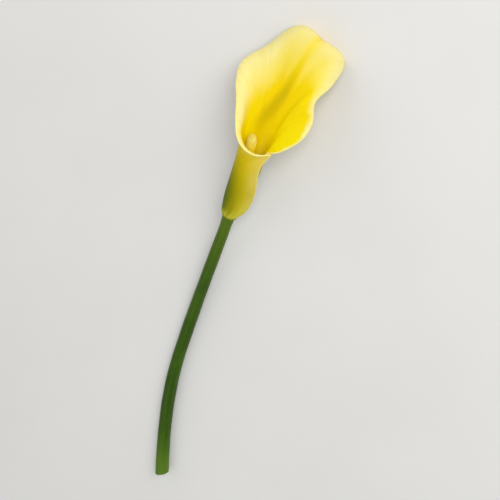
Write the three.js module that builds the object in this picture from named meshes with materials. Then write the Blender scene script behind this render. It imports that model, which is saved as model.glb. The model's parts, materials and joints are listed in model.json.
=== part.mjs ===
// One arum lily flower as picked, lying on a level surface: a smooth fleshy stem, one spathe rolled
// into a tube that opens into a waved limb, and the spadix that stands inside the tube.
// Millimetres, +Z up, the surface is z = 0. +Y runs from the cut end of the stem to the limb, and the
// origin is on the surface under the middle of the whole flower.
import * as THREE from 'three';

const { clamp, degToRad, lerp, smoothstep } = THREE.MathUtils;

// ---- Where the flower lies ----
const FOOT = new THREE.Vector3(0.25, 33.63, 13.3); // foot of the spathe, on the axis of its tube
const RISE = 11; // degrees that the tube's axis climbs from the stem to the limb
const GAP = 0.3; // clear space between pieces that meet

// ---- Stem ----
const STEM_LENGTH = 165; // cut end to the foot of the spathe
const STEM_CUT_RADIUS = 3.6;
const STEM_NECK_RADIUS = 2.8; // at its thinnest, just under the spathe
const STEM_TOP_RADIUS = 3.1;
const STEM_TOP_FLARE = 9; // length over which the neck widens to the top
const STEM_OFFSET = -0.8; // of the stem's top from the tube's axis, along x
const CORE_RADIUS = 1.4; // the stem goes on into the tube as a short core
const CORE_HEIGHT = 2;
const CUT_SLANT = 14; // degrees off square
const STEM_SIDES = 12;
const STEM_STEPS = 34;
const TOUCH_DOWN = new THREE.Vector2(1.5, -88); // from the foot: where the stem meets the surface
const CUT_END = new THREE.Vector2(20, -160.5); // from the foot: where the stem is cut

// ---- Spathe ----
const BASE_THICKNESS = 1.1; // at the midrib, low in the tube
const RIM_THICKNESS = 0.65;
const TUBE_FOOT_RADIUS = 3.2;
const TUBE_SWELL = 2.4; // widening over the first few millimetres
const TUBE_SWELL_HEIGHT = 4;
const TUBE_TAPER = 0.024; // widening per millimetre further up
const WRAP_FOOT_STEP = 1.15; // how far one turn lies outside the last, at the foot
const WRAP_STEP = 1.5; // and from WRAP_FULL_HEIGHT up
const WRAP_FULL_HEIGHT = 8;
const LOWEST = -8; // degrees from the midrib: the line of the wall that lies lowest
const LIP = 2.2; // length of the rolled edge
const LIP_TURN = 30; // degrees that the edge rolls back
const TIP_LENGTH = 13; // the spathe's point, past the rolled edge
const TIP_TURN = 55;
const TIP_HALF_WIDTH = 6.5; // degrees
const FLARE = 0.9; // how far the outer margin stands off the tube
const FLARE_WAVE_LENGTH = 29;
const FLARE_CREST = 15; // height at which it stands off furthest
const COLUMNS_LEFT = 30;
const COLUMNS_RIGHT = 18;
const ROWS = 28;
const TUBE_ROWS = 0.3; // share of the rows up to the top of the tube
const LIMB_ROWS = 0.84; // share of the rows up to the start of the rolled edge

// The rim round the flower, from the outer margin over the midrib to the inner margin. at: degrees
// from the midrib. height: along the tube's axis. reach: from the axis. lean: of the wall away from
// the axis, in degrees, so 90 points straight out and more is rolled back.
const RIM = [
  { at: -256, height: 43.0, reach: 9.4, lean: 24 },
  { at: -247, height: 43.2, reach: 9.2, lean: 32 },
  { at: -232, height: 43.1, reach: 9.2, lean: 46 },
  { at: -205, height: 43.2, reach: 9.5, lean: 58 },
  { at: -160, height: 46.6, reach: 10.1, lean: 60 },
  { at: -130, height: 52.8, reach: 11.0, lean: 62 },
  { at: -110, height: 60.0, reach: 13.4, lean: 72 },
  { at: -92, height: 66.0, reach: 18.2, lean: 88 },
  { at: -74, height: 71.0, reach: 23.6, lean: 104 },
  { at: -49, height: 80.4, reach: 23.9, lean: 104 },
  { at: -28, height: 89.0, reach: 30.6, lean: 118 },
  { at: 0, height: 89.2, reach: 28.0, lean: 128 },
  { at: 18, height: 86.4, reach: 32.3, lean: 120 },
  { at: 38, height: 79.0, reach: 23.8, lean: 101 },
  { at: 56, height: 71.5, reach: 16.8, lean: 84 },
  { at: 70, height: 63.0, reach: 18.8, lean: 86 },
  { at: 84, height: 53.6, reach: 17.0, lean: 72 },
  { at: 95, height: 45.8, reach: 12.6, lean: 48 },
  { at: 104, height: 42.0, reach: 8.0, lean: 14 },
];
// The two margins round the tube. at: height. outer, inner: degrees from the midrib.
const MARGINS = [
  { at: 0, outer: 278, inner: 178 },
  { at: 10, outer: 286, inner: 172 },
  { at: 22, outer: 272, inner: 160 },
  { at: 32, outer: 256, inner: 139 },
  { at: 37, outer: 254, inner: 121 },
  { at: 40, outer: 255, inner: 110 },
  { at: 42, outer: 256, inner: 104 },
  { at: 46, outer: 256, inner: 104 },
];

// ---- Spadix ----
const SPADIX_LENGTH = 44;
const SPADIX_FOOT_RADIUS = 1.5;
const SPADIX_RADIUS = 2.2;
const SPADIX_SWELL = 5; // length over which the foot widens
const SPADIX_DOME = 4; // length of the rounded end
const SPADIX_LEAN = new THREE.Vector2(-2.7, -1.2); // how far the end stands off the axis
const FLORETS_ROUND = 12;
const FLORET_STEP = 0.8; // height between rows of florets
const FLORET_RELIEF = 0.22;

// Smooth value of one field between the stations of a list, with no corner at any station.
function between(stations, at, field) {
  const last = stations.length - 1;
  const x = clamp(at, stations[0].at, stations[last].at);
  let i = 0;
  while (i < last - 1 && x >= stations[i + 1].at) i += 1;
  const width = (k) => stations[k + 1].at - stations[k].at;
  const rise = (k) => (stations[k + 1][field] - stations[k][field]) / width(k);
  const slope = (k) => {
    if (k === 0) return rise(0);
    if (k === last) return rise(last - 1);
    return (rise(k - 1) * width(k) + rise(k) * width(k - 1)) / (width(k) + width(k - 1));
  };
  const t = (x - stations[i].at) / width(i);
  return (
    (1 + 2 * t) * (1 - t) ** 2 * stations[i][field] +
    t * (1 - t) ** 2 * width(i) * slope(i) +
    t * t * (3 - 2 * t) * stations[i + 1][field] +
    t * t * (t - 1) * width(i) * slope(i + 1)
  );
}

const bezier = (t, a, b, c, d) =>
  (1 - t) ** 3 * a + 3 * t * (1 - t) ** 2 * b + 3 * t * t * (1 - t) * c + t ** 3 * d;

const tubeRadius = (height) =>
  TUBE_FOOT_RADIUS + TUBE_SWELL * (1 - Math.exp(-height / TUBE_SWELL_HEIGHT)) + TUBE_TAPER * height;

const tubeSlope = (height) =>
  (TUBE_SWELL / TUBE_SWELL_HEIGHT) * Math.exp(-height / TUBE_SWELL_HEIGHT) + TUBE_TAPER;

// The spathe's middle surface in the upright flower: z along the tube, +y to the midrib's side.
// across runs from -1 at the outer margin over 0 at the midrib to 1 at the inner margin, and up from
// 0 at the foot to 1 at the rim.
function spathePoint(across, up) {
  const share = Math.abs(across);
  const rimAt = across < 0 ? share * RIM[0].at : share * RIM[RIM.length - 1].at;
  const rimHeight = between(RIM, rimAt, 'height');
  const rimReach = between(RIM, rimAt, 'reach');
  const lean = degToRad(between(RIM, rimAt, 'lean'));

  // The tube ends halfway up, and higher near the two margins.
  const tubeShare =
    0.5 + 0.36 * clamp((across - 0.6) / 0.4, 0, 1) + 0.25 * clamp((-across - 0.5) / 0.5, 0, 1);
  const tubeTop = rimHeight * tubeShare;
  const topRadius = tubeRadius(tubeTop);
  let reach;
  let height;
  if (up < TUBE_ROWS) {
    height = tubeTop * (up / TUBE_ROWS) ** 1.6;
    reach = tubeRadius(height);
  } else {
    // The limb leaves the tube along its slope and reaches the rim along the lean.
    const t = clamp((up - TUBE_ROWS) / (LIMB_ROWS - TUBE_ROWS), 0, 1);
    const span = Math.hypot(rimReach - topRadius, rimHeight - tubeTop);
    const slope = tubeSlope(tubeTop);
    const late = smoothstep(across, 0.6, 1); // the inner margin opens last, clear of the outer one
    const first = ((0.45 + 0.15 * late) * span) / Math.hypot(slope, 1);
    const opening = (0.55 * (rimReach - topRadius)) / Math.sin(lean);
    const second = Math.min((0.3 - 0.05 * late) * span, opening);
    reach = bezier(t, topRadius, topRadius + slope * first, rimReach - Math.sin(lean) * second, rimReach);
    height = bezier(t, tubeTop, tubeTop + first, rimHeight - Math.cos(lean) * second, rimHeight);
  }
  if (up > LIMB_ROWS) {
    // The edge rolls back in an arc, and at the midrib it runs on into the point.
    const t = (up - LIMB_ROWS) / (1 - LIMB_ROWS);
    const point = Math.exp(-((rimAt / TIP_HALF_WIDTH) ** 2));
    const edge = clamp(Math.min((RIM[RIM.length - 1].at - rimAt) / 25, (rimAt - RIM[0].at) / 40), 0, 1);
    const length = LIP * (0.35 + 0.65 * edge) + TIP_LENGTH * point;
    const turn = degToRad(LIP_TURN * edge + TIP_TURN * point) + 1e-6;
    reach += (length / turn) * (Math.cos(lean) - Math.cos(lean + turn * t));
    height += (length / turn) * (Math.sin(lean + turn * t) - Math.sin(lean));
  }

  // One margin wraps round outside the other, and its edge stands off a little in waves.
  const angle = across * between(MARGINS, height, across < 0 ? 'outer' : 'inner');
  const step = lerp(WRAP_FOOT_STEP, WRAP_STEP, smoothstep(height, 0, WRAP_FULL_HEIGHT));
  const wave = 0.5 + 0.5 * Math.cos((2 * Math.PI * (height - FLARE_CREST)) / FLARE_WAVE_LENGTH);
  const flare = FLARE * wave * smoothstep(-across, 0.9, 1.02) * (1 - smoothstep(up, 0.5, 0.95));
  reach += step * (-angle / 360 - 0.25) + flare;
  const round = degToRad(angle - LOWEST);
  return new THREE.Vector3(reach * Math.sin(round), reach * Math.cos(round), height);
}

// How high a point of the upright flower comes to lie over the surface, and the way up from it.
const lyingUp = new THREE.Vector3(0, -Math.cos(degToRad(RISE)), Math.sin(degToRad(RISE)));
const lyingHeight = (point) => FOOT.z + point.dot(lyingUp);

function liftTo(point, height) {
  return point.addScaledVector(lyingUp, Math.max(0, height - lyingHeight(point)));
}

const spatheThickness = (across, up) =>
  lerp(RIM_THICKNESS, BASE_THICKNESS, (1 - up) * (1 - across * across));

// Where the limb meets the surface it is pressed flat on it.
function restingSpathePoint(across, up) {
  return liftTo(spathePoint(across, up), spatheThickness(across, up) / 2);
}

function spatheNormal(across, up) {
  const d = 0.002;
  const a0 = Math.max(across - d, -1);
  const a1 = Math.min(across + d, 1);
  const u0 = Math.max(up - d, 0);
  const u1 = Math.min(up + d, 1);
  const alongAcross = restingSpathePoint(a1, up).sub(restingSpathePoint(a0, up));
  const alongUp = restingSpathePoint(across, u1).sub(restingSpathePoint(across, u0));
  return alongUp.cross(alongAcross).normalize();
}

// Columns stand closer together near the midrib, where the point is.
function spatheColumns() {
  const columns = [];
  for (let i = COLUMNS_LEFT; i > 0; i -= 1) columns.push(-((i / COLUMNS_LEFT) ** 1.25));
  for (let i = 0; i <= COLUMNS_RIGHT; i += 1) columns.push((i / COLUMNS_RIGHT) ** 1.25);
  return columns;
}

// A closed sheet: an outer and an inner grid split along the same diagonals, the shorter one of each
// cell, joined round the edge.
function spatheGeometry() {
  const columns = spatheColumns();
  const perRow = columns.length;
  const perFace = perRow * (ROWS + 1);
  const positions = [];
  for (const side of [1, -1]) {
    for (let row = 0; row <= ROWS; row += 1) {
      for (const across of columns) {
        const up = row / ROWS;
        const point = restingSpathePoint(across, up);
        point.addScaledVector(spatheNormal(across, up), (side * spatheThickness(across, up)) / 2);
        liftTo(point, 0);
        if (row === 0) point.z = 0;
        positions.push(...point.toArray());
      }
    }
  }
  const index = [];
  const quad = (a, b, c, d) => index.push(a, b, c, a, c, d);
  const corner = (i) => new THREE.Vector3().fromArray(positions, 3 * i);
  const distance = (i, j) => corner(i).distanceTo(corner(j));
  for (let row = 0; row < ROWS; row += 1) {
    for (let i = 0; i < perRow - 1; i += 1) {
      const a = row * perRow + i;
      const cell = [a, a + perRow, a + perRow + 1, a + 1];
      if (distance(cell[0], cell[2]) > distance(cell[1], cell[3])) cell.push(cell.shift());
      quad(...cell);
      const [p, q, r, s] = cell.map((k) => k + perFace);
      index.push(p, r, q, p, s, r);
    }
  }
  for (let i = 0; i < perRow - 1; i += 1) {
    const top = ROWS * perRow + i;
    quad(i, i + 1, i + 1 + perFace, i + perFace);
    quad(top + 1, top, top + perFace, top + 1 + perFace);
  }
  for (let row = 0; row < ROWS; row += 1) {
    const left = row * perRow;
    const right = left + perRow - 1;
    quad(left + perRow, left, left + perFace, left + perRow + perFace);
    quad(right, right + perRow, right + perRow + perFace, right + perFace);
  }
  const geometry = new THREE.BufferGeometry();
  geometry.setAttribute('position', new THREE.Float32BufferAttribute(positions, 3));
  geometry.setIndex(index);
  geometry.computeVertexNormals();
  return geometry;
}

// A slim finger with a domed end, its whole side raised in staggered rows of small round florets.
function spadixGeometry() {
  const rings = Math.round(SPADIX_LENGTH / FLORET_STEP);
  const profile = [new THREE.Vector2(0, 0)];
  for (let ring = 0; ring < rings; ring += 1) {
    const height = (ring / rings) * SPADIX_LENGTH;
    const swell = smoothstep(height, 0, SPADIX_SWELL);
    const dome = clamp((height - SPADIX_LENGTH + SPADIX_DOME) / SPADIX_DOME, 0, 1);
    const radius = lerp(SPADIX_FOOT_RADIUS, SPADIX_RADIUS, swell) * Math.sqrt(1 - dome * dome);
    profile.push(new THREE.Vector2(radius, height));
  }
  profile.push(new THREE.Vector2(0, SPADIX_LENGTH));
  const geometry = new THREE.LatheGeometry(profile, FLORETS_ROUND * 2);
  geometry.rotateX(Math.PI / 2);
  const position = geometry.attributes.position;
  for (let i = 0; i < position.count; i += 1) {
    const x = position.getX(i);
    const y = position.getY(i);
    const height = position.getZ(i);
    const radius = Math.hypot(x, y);
    const row = Math.round((height / SPADIX_LENGTH) * rings);
    const column = Math.round((Math.atan2(y, x) * FLORETS_ROUND) / Math.PI);
    const raised = (row + column) % 2 === 0 ? 1 : -1;
    const inside = smoothstep(height, 0, SPADIX_SWELL) * smoothstep(radius, 0.6, 1.8);
    const grow = radius > 0 ? 1 + (raised * inside * FLORET_RELIEF) / radius : 1;
    const bend = (height / SPADIX_LENGTH) ** 2;
    position.setXYZ(
      i,
      x * grow + SPADIX_LEAN.x * bend,
      y * grow + SPADIX_LEAN.y * bend,
      height + CORE_HEIGHT + GAP,
    );
  }
  geometry.computeVertexNormals();
  return geometry;
}

// The stem's line from the cut end: flat on the surface, then up to the foot of the spathe. Its z is
// how far the stem is clear of the surface.
function stemLine() {
  const tubeAxis = new THREE.Vector3(0, Math.cos(degToRad(RISE)), Math.sin(degToRad(RISE)));
  const top = FOOT.clone().addScaledVector(tubeAxis, -GAP);
  top.x += STEM_OFFSET;
  top.z -= stemRest(STEM_TOP_RADIUS);
  const touch = new THREE.Vector3(FOOT.x + TOUCH_DOWN.x, FOOT.y + TOUCH_DOWN.y, 0);
  const cut = new THREE.Vector3(FOOT.x + CUT_END.x, FOOT.y + CUT_END.y, 0);
  const lyingDirection = new THREE.Vector3(-0.09, 1, 0).normalize();
  const cutDirection = new THREE.Vector3(-0.38, 1, 0).normalize();
  const line = new THREE.CurvePath();
  line.add(
    new THREE.CubicBezierCurve3(
      cut,
      cut.clone().addScaledVector(cutDirection, 24),
      touch.clone().addScaledVector(lyingDirection, -26),
      touch,
    ),
  );
  line.add(
    new THREE.CubicBezierCurve3(
      touch,
      touch.clone().addScaledVector(lyingDirection, 34),
      top.clone().addScaledVector(tubeAxis, -30),
      top,
    ),
  );
  return line;
}

// Height of the stem's middle over its flat underside.
const stemRest = (radius) => radius * Math.cos(Math.PI / STEM_SIDES);

function stemRadius(along) {
  const neck = lerp(STEM_CUT_RADIUS, STEM_NECK_RADIUS, along);
  const flare = smoothstep(along * STEM_LENGTH, STEM_LENGTH - STEM_TOP_FLARE, STEM_LENGTH);
  return lerp(neck, STEM_TOP_RADIUS, flare);
}

// A round bar turned about y is laid along the stem's line. Its sides are set so that one faces down.
function stemGeometry() {
  const profile = [new THREE.Vector2(0, 0)];
  for (let step = 0; step <= STEM_STEPS; step += 1) {
    const along = step / STEM_STEPS;
    profile.push(new THREE.Vector2(stemRadius(along), along));
  }
  profile.push(new THREE.Vector2(CORE_RADIUS, 1));
  profile.push(new THREE.Vector2(CORE_RADIUS, 2));
  profile.push(new THREE.Vector2(0, 2));
  const geometry = new THREE.LatheGeometry(profile, STEM_SIDES, Math.PI / STEM_SIDES);
  const position = geometry.attributes.position;
  const line = stemLine();
  const worldUp = new THREE.Vector3(0, 0, 1);
  for (let i = 0; i < position.count; i += 1) {
    const along = Math.min(position.getY(i), 1);
    const core = (position.getY(i) - along) * (CORE_HEIGHT + GAP);
    const tangent = line.getTangentAt(along);
    const side = tangent.clone().cross(worldUp).normalize();
    const up = side.clone().cross(tangent);
    const slant = along === 0 ? position.getX(i) * Math.tan(degToRad(CUT_SLANT)) : 0;
    const point = line.getPointAt(along);
    point.z += stemRest(stemRadius(along));
    point.addScaledVector(side, position.getX(i));
    point.addScaledVector(up, position.getZ(i));
    point.addScaledVector(tangent, core + slant);
    position.setXYZ(i, point.x, point.y, point.z);
  }
  geometry.computeVertexNormals();
  return geometry;
}

function piece(name, geometry, color, roughness) {
  const mesh = new THREE.Mesh(
    geometry,
    new THREE.MeshStandardMaterial({ color, roughness, metalness: 0 }),
  );
  mesh.name = name;
  return mesh;
}

const stem = piece('stem', stemGeometry(), '#5c8a1f', 0.45);
const spathe = piece('spathe', spatheGeometry(), '#f3cf1d', 0.5);
const spadix = piece('spadix', spadixGeometry(), '#e9b91f', 0.7);

// The bloom is built upright and laid down on its back, on the end of the stem.
const bloom = new THREE.Group();
bloom.add(spathe, spadix);
bloom.position.copy(FOOT);
bloom.rotation.x = degToRad(RISE - 90);

const flower = new THREE.Group();
flower.name = 'arum_lily_flower';
flower.add(stem, bloom);

export default flower;
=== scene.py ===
"""One arum lily flower, picked and laid down on a pale table: spathe, spadix and stem."""
import json
import math

import bmesh
import bpy
import numpy as np
from mathutils import Matrix, Vector

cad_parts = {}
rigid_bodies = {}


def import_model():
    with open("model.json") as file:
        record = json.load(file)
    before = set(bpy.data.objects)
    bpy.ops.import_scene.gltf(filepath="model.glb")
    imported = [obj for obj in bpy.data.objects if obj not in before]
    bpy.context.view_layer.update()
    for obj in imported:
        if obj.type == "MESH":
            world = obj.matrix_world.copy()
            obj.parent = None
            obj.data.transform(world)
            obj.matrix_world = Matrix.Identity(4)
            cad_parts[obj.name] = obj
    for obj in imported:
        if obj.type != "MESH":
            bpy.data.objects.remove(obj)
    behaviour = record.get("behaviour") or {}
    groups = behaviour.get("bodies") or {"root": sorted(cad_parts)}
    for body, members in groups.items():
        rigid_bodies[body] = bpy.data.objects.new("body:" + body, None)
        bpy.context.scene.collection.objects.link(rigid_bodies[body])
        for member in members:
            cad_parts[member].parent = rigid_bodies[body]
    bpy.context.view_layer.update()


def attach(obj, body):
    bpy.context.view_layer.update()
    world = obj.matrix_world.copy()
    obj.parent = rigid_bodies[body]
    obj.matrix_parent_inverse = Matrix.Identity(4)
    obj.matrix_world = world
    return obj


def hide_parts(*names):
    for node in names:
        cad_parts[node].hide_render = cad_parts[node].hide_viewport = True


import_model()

MM = 0.001
rng = np.random.default_rng(11)

# ---- Where the flower lies, in millimetres ----
FOOT = np.array([0.25, 33.63, 13.3])  # foot of the spathe, on the axis of its tube
RISE = math.radians(11)  # the tube's axis climbs from the stem to the limb
TUBE_AXIS = np.array([0.0, math.cos(RISE), math.sin(RISE)])
# From the tube's axis to the midrib, which lies lowest.
BACK = np.array([0.0, math.sin(RISE), -math.cos(RISE)])
GAP = 0.3  # clearance between the stem's top and what stands on it

# ---- Stem ----
STEM_LENGTH = 165.0
STEM_CUT_RADIUS = 3.6
STEM_NECK_RADIUS = 2.8
STEM_TOP_RADIUS = 3.1
STEM_TOP_FLARE = 9.0  # length over which the stem widens to its top
STEM_OFFSET = -0.8  # sideways, from the tube's axis
STEM_UNDERSIDE = math.cos(math.pi / 12)  # the middle lies this share of the radius over the surface
CORE_HEIGHT = 2.0  # how far the stem goes on into the tube, under the spadix
CORE_SHARE = 0.45  # of its top's radius
MERGE_DISTANCE = 0.00001  # metres, for the seam of a rolled sheet
CUT_SLANT = math.tan(math.radians(14))
CUT_SLANT_REACH = 7.0  # the slant dies out over this length
TOUCH_DOWN = np.array([1.5, -88.0])  # from the flower's foot to where the stem meets the surface
CUT_END = np.array([20.0, -160.5])  # and to the cut
# Rings that close the stem: share of the end's size, and millimetres further out.
CUT_RINGS = [
    (0.985, 0.06), (0.955, 0.09), (0.92, 0.07), (0.895, 0.04), (0.86, -0.03), (0.76, -0.08),
    (0.6, -0.12), (0.4, -0.15), (0.2, -0.16), (0.06, -0.16),
]
RIND_RINGS = 3  # the outermost ones stay green
TOP_RINGS = [
    (0.95, 0.16), (0.85, 0.26), (0.7, 0.29), (0.47, 0.3), (CORE_SHARE, 0.5),
    (CORE_SHARE, CORE_HEIGHT), (0.4, CORE_HEIGHT + 0.25), (0.2, CORE_HEIGHT + GAP),
]
STEM_COLUMNS = 72
STEM_ROWS = 240
STEM_RIDGES = 9
STEM_RIDGE_HEIGHT = 0.016
STEM_RIDGE_SWAY = 0.6  # radians that the ridges wind to and fro
STEM_SWELLS = (0.012, 0.008)  # shares of the radius, in slow and in quicker waves
LYING_DIRECTION = (-0.09, 1)  # of the stem where it meets the surface, seen from above
CUT_DIRECTION = (-0.38, 1)  # and at its cut end
# How far the stem's line follows its direction: from the cut, before and after it meets the
# surface, and before the flower's foot.
STEM_PULLS = (24, 26, 34, 30)
STEM_LINE_POINTS = 600
STEM_SHARP = 50  # degrees between two faces from which an edge stays sharp

# ---- Spathe ----
BASE_THICKNESS = 1.1  # at the foot by the midrib
RIM_THICKNESS = 0.65
TUBE_FOOT_RADIUS = 3.2
TUBE_SWELL = 2.4  # widening over the first few millimetres
TUBE_SWELL_HEIGHT = 4.0
TUBE_TAPER = 0.024  # widening per millimetre further up
TUBE_SHARE = 0.5  # the tube ends at this share of the rim's height,
TUBE_SHARE_INNER = 0.36  # and at this much more of it by the inner margin
TUBE_SHARE_OUTER = 0.25  # and by the outer one
BY_INNER = 0.6  # share of the way from the midrib from which the inner margin is near,
BY_OUTER = 0.5  # and the outer one
LIMB_START_PULL = 0.45  # how far the limb follows the tube's slope, as a share of its own length,
LIMB_START_PULL_INNER = 0.15  # and how much more by the inner margin, which opens last
LIMB_END_PULL = 0.3  # how far it follows the rim's lean,
LIMB_END_PULL_INNER = 0.05  # and how much less by the inner margin
LIMB_END_PULL_MOST = 0.55  # no further than this share of the way out
WRAP_FOOT_STEP = 1.15  # how far one turn lies outside the last, at the foot
WRAP_STEP = 1.5  # and from WRAP_FULL_HEIGHT up
WRAP_FULL_HEIGHT = 8.0
WRAP_MEAN = -0.25  # turn at which the wall stands at the tube's own radius
LOWEST = -8.0  # degrees from the midrib: the line of the wall that lies lowest
LIP = 2.2  # length of the rolled edge
LIP_TURN = 30.0  # degrees that it turns back by
LIP_LEAST = 0.35  # share of its length that is left at the margins
LIP_FADE_INNER = 25  # degrees from each margin over which it grows to its full length
LIP_FADE_OUTER = 40
TIP_LENGTH = 13.0
TIP_TURN = 55.0
TIP_HALF_WIDTH = 6.5
FLARE = 0.9  # how far the outer margin stands off, at its most
FLARE_WAVE_LENGTH = 29.0
FLARE_CREST = 15.0  # height of the widest place
FLARE_ACROSS = (0.9, 1.02)  # it grows over this part of the way to the margin
FLARE_UP = (0.5, 0.95)  # and dies out over this part of the way to the rim
TUBE_ROWS = 0.3  # share of the rows up to the top of the tube
LIMB_ROWS = 0.84  # share of the rows up to the start of the rolled edge
FOOT_CROWDING = 1.6  # rows stand closer together towards the foot
RIM_CROWDING = 1.4  # and towards the rim
SPATHE_COLUMNS = 280
SPATHE_ROWS = 132
FOOT_TUCK = 0.02  # share of the rows that come down onto the stem
FOOT_BEND = 6.0  # height over which the tube comes back from the stem to its own axis
FOOT_CLASP = 0.5  # the outer turn comes down this much further, round the stem
MARGIN_COLUMNS = 4  # at each margin, for its round edge
OUTER_MARGIN_TURN = 0.009  # share of the width that those columns take
INNER_MARGIN_TURN = 0.024
VEINS = 24  # on each side of the midrib
VEIN_RELIEF = 0.02
VEIN_UNEVEN = 0.35  # share of their relief that comes and goes across the sheet
VEIN_SWAY = 0.8  # radians that they lie out of step by
MIDRIB_RELIEF = 0.12
MIDRIB_HALF_WIDTH = 1.3
MIDRIB_FADE = 0.7  # share of its relief that the midrib loses up the limb
SLOPE_SPAN = 0.002  # share of the sheet over which its slope is taken
THINNEST_EDGE = 0.15  # share of the thickness at the very edge
FACE_CHANGE = 0.6  # the finish changes from the inner to the outer one over this much of the edge

# The rim round the flower: degrees from the midrib, height along the tube, reach from its axis, and
# lean of the wall in degrees.
RIM = np.array([
    (-256, 43.0, 9.4, 24), (-247, 43.2, 9.2, 32), (-232, 43.1, 9.2, 46), (-205, 43.2, 9.5, 58),
    (-160, 46.6, 10.1, 60), (-130, 52.8, 11.0, 62), (-110, 60.0, 13.4, 72), (-92, 66.0, 18.2, 88),
    (-74, 71.0, 23.6, 104), (-49, 80.4, 23.9, 104), (-28, 89.0, 30.6, 118), (0, 89.2, 28.0, 128),
    (18, 86.4, 32.3, 120), (38, 79.0, 23.8, 101), (56, 71.5, 16.8, 84), (70, 63.0, 18.8, 86),
    (84, 53.6, 17.0, 72), (95, 45.8, 12.6, 48), (104, 42.0, 8.0, 14),
], float)
# The two margins round the tube: height, and degrees from the midrib of the outer and inner one.
MARGINS = np.array([
    (0, 278, 178), (10, 286, 172), (22, 272, 160), (32, 256, 139),
    (37, 254, 121), (40, 255, 110), (42, 256, 104), (46, 256, 104),
], float)

# ---- Spadix ----
SPADIX_LENGTH = 44.0
SPADIX_FOOT_RADIUS = 1.5
FINGER_INSET = 0.2  # the finger is this much thinner at its foot, for the florets
SPADIX_RADIUS = 1.97  # of the finger that the florets stand on
SPADIX_SWELL = 5.0  # height over which it reaches its full radius
SPADIX_DOME = 4.0  # height of its round top
SPADIX_LEAN = np.array([-2.7, -1.2])  # how far its top stands off its axis
SPADIX_COLUMNS = 32
SPADIX_ROWS = 90
DOME_CROWDING = 1.3  # rows stand closer together towards the top
PISTIL_ZONE = 13.0  # the lowest part bears pale pistils, and all above it bears stamens
PISTIL_SPACING = 1.5
STAMEN_SPACING = 0.8
PISTIL_START = 1.2  # height of the lowest pistils
PISTIL_STAND = 0.2  # their skin is measured this far out of the finger
STAMEN_START = PISTIL_ZONE + 0.5
STAMEN_END = SPADIX_LENGTH - 0.02
STAMEN_STAND = 0.1
LEAST_SKIN_RADIUS = 0.3
SPIRAL_STEPS = 3000
FLORET_PACKING = 0.9  # share of its square of skin that a floret needs
# One floret of each kind: radius, height of its side, height of its crown, depth of its dimple. The
# pistil has a raised middle instead of a dimple.
STAMEN_FLORET = (0.47, 0.3, 0.2, 0.05)
PISTIL_FLORET = (0.74, 0.3, 0.42, -0.16)
FLORET_SIDES = 8
FLORET_SPREAD = 0.08  # of their sizes
FLORET_SMALLEST = 0.85
FLORET_LARGEST = 1.15
SPADIX_SLOPE_SPAN = 0.05
TOP_MARGIN = 1e-4  # keeps that span under the very top
FLORET_REACH = 0.4  # how far a floret stands out of the finger
GOLDEN_ANGLE = math.pi * (3 - math.sqrt(5))

# ---- Camera ----
LENS = 85
FACING = math.radians(163)  # round the tube's axis, from the midrib's side to the open front
TILT = math.radians(52)  # between the tube's axis and the line of sight
ROLL = math.radians(21)  # the tube leans this far to the right in the picture
FRAME_FILL = 0.9  # share of the picture that the flower reaches across
FRAMING_ROUNDS = 12  # each one brings the flower nearer to the middle and to that size
FIRST_DISTANCE = 0.6  # metres
CLIP_START, CLIP_END = 0.01, 20
TABLE_SIZE = 6  # metres
SKY_STRENGTH = 0.35


def smoothstep(x, low, high):
    t = np.clip((x - low) / (high - low), 0, 1)
    return t * t * (3 - 2 * t)


def between(stations, at, column):
    """Smooth value of one column between the stations of a table, with no corner at any station."""
    xs, ys = stations[:, 0], stations[:, column]
    width = np.diff(xs)
    rise = np.diff(ys) / width
    slope = np.empty(len(xs))
    slope[0], slope[-1] = rise[0], rise[-1]
    slope[1:-1] = (rise[:-1] * width[1:] + rise[1:] * width[:-1]) / (width[1:] + width[:-1])
    x = np.clip(at, xs[0], xs[-1])
    i = np.clip(np.searchsorted(xs, x, side="right") - 1, 0, len(xs) - 2)
    t, w = (x - xs[i]) / width[i], width[i]
    return (
        (1 + 2 * t) * (1 - t) ** 2 * ys[i] + t * (1 - t) ** 2 * w * slope[i]
        + t * t * (3 - 2 * t) * ys[i + 1] + t * t * (t - 1) * w * slope[i + 1]
    )


def bezier(t, a, b, c, d):
    return (1 - t) ** 3 * a + 3 * t * (1 - t) ** 2 * b + 3 * t * t * (1 - t) * c + t**3 * d


def lay_down(upright):
    """From the upright flower (x right, y to the midrib, z up the tube) to its place on the table."""
    return (
        FOOT
        + upright[..., 0:1] * np.array([1.0, 0.0, 0.0])
        + upright[..., 1:2] * BACK
        + upright[..., 2:3] * TUBE_AXIS
    )


def stand_up(laid):
    """The way back, from a place on the table to the upright flower."""
    off = laid - FOOT
    return np.stack([off[..., 0], off @ BACK, off @ TUBE_AXIS], -1)


# ---- Mesh helpers ----
def only(piece):
    """Leaves one object selected and active, in object mode."""
    bpy.ops.object.select_all(action="DESELECT")
    piece.select_set(True)
    bpy.context.view_layer.objects.active = piece


def ruled_sheet(name, columns, rows):
    """A square sheet ruled into columns and rows. Its UV map runs 0 to 1 across and up."""
    bpy.ops.object.select_all(action="DESELECT")
    bpy.ops.mesh.primitive_grid_add(x_subdivisions=columns, y_subdivisions=rows, size=2, calc_uvs=True)
    sheet = bpy.context.object
    sheet.name = sheet.data.name = name
    sheet.data.uv_layers[0].name = "surface"
    return sheet


def corners(piece):
    co = np.empty(len(piece.data.vertices) * 3)
    piece.data.vertices.foreach_get("co", co)
    return co.reshape(-1, 3)


def place_corners(piece, co):
    piece.data.vertices.foreach_set("co", np.asarray(co, np.float32).ravel())
    piece.data.update()


def note(piece, name, values):
    """Keeps one number for each corner, for the material to read."""
    layer = piece.data.attributes.new(name, "FLOAT", "POINT")
    layer.data.foreach_set("value", np.asarray(values, np.float32))


def apply_modifiers(piece):
    only(piece)
    for modifier in list(piece.modifiers):
        bpy.ops.object.modifier_apply(modifier=modifier.name)


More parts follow.
